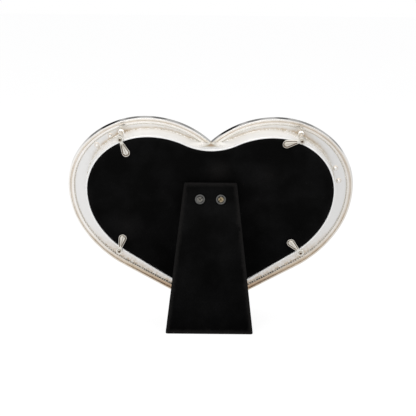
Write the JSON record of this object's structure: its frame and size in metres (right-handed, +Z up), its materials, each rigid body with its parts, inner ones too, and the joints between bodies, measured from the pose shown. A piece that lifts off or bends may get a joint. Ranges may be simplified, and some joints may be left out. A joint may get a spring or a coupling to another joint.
{
  "type": "heart shaped table photo frame",
  "caption": "Heart shaped metal table frame seen with its velvet backed board, turn buttons and hinged easel leg open.",
  "frame": {"origin": "on the table, under the middle of the frame's footprint as it stands on its tip and its open leg", "axes": "+Z up; -Y the way the picture looks, so the back and the leg are towards +Y; +X to the right seen from the front"},
  "size_m": [0.15, 0.0578, 0.1084],
  "materials": {
    "polished_silver": "polished",
    "picture_glass": "clear",
    "photo_paper": "satin",
    "grey_card": "matt",
    "black_velvet": "short pile",
    "nickel_rivet": "worn polish",
    "steel_hinge": "plain",
    "pearl": "pearlescent"
  },
  "bodies": {
    "frame": {"face_plate": "polished_silver", "border_beading": "polished_silver", "gallery_wall": "polished_silver", "glass_pane": "picture_glass", "photo_sheet": "photo_paper", "spacer_card": "grey_card", "backing_board": "grey_card", "board_velvet": "black_velvet", "turn_button_rivets": "polished_silver", "peg_washers": "polished_silver", "hinge_board_leaf": "steel_hinge", "hinge_pin": "steel_hinge", "hinge_board_rivets": "steel_hinge", "button_post_upper_left": "polished_silver", "button_post_upper_right": "polished_silver", "button_post_lower_left": "polished_silver", "button_post_lower_right": "polished_silver", "ornament_cup_1": "polished_silver", "ornament_pearl_1": "pearl", "ornament_cup_2": "polished_silver", "ornament_pearl_2": "pearl", "ornament_cup_3": "polished_silver", "ornament_pearl_3": "pearl", "ornament_cup_4": "polished_silver", "ornament_pearl_4": "pearl"},
    "easel_leg": {"hinge_leg_leaf": "steel_hinge", "leg_core": "grey_card", "leg_velvet": "black_velvet", "leg_rivets": "nickel_rivet"},
    "button_upper_left": {"turn_button_upper_left": "polished_silver"},
    "button_upper_right": {"turn_button_upper_right": "polished_silver"},
    "button_lower_left": {"turn_button_lower_left": "polished_silver"},
    "button_lower_right": {"turn_button_lower_right": "polished_silver"}
  },
  "joints": [
    {"name": "easel_hinge", "type": "hinge", "parent": "frame", "child": "easel_leg", "pos_m": [0, 0.00374, 0.0704], "axis": [-1, 0, 0], "range_deg": [0, 32.3]},
    {"name": "turn_upper_left", "type": "hinge", "parent": "frame", "child": "button_upper_left", "pos_m": [0.04646, 0.01067, 0.09731], "axis": [0, 0.9613, -0.2756], "continuous": true},
    {"name": "turn_upper_right", "type": "hinge", "parent": "frame", "child": "button_upper_right", "pos_m": [-0.04646, 0.01067, 0.09731], "axis": [0, 0.9613, -0.2756], "continuous": true},
    {"name": "turn_lower_left", "type": "hinge", "parent": "frame", "child": "button_lower_left", "pos_m": [0.04799, -0.00697, 0.03577], "axis": [0, 0.9613, -0.2756], "continuous": true},
    {"name": "turn_lower_right", "type": "hinge", "parent": "frame", "child": "button_lower_right", "pos_m": [-0.04799, -0.00697, 0.03577], "axis": [0, 0.9613, -0.2756], "continuous": true}
  ]
}
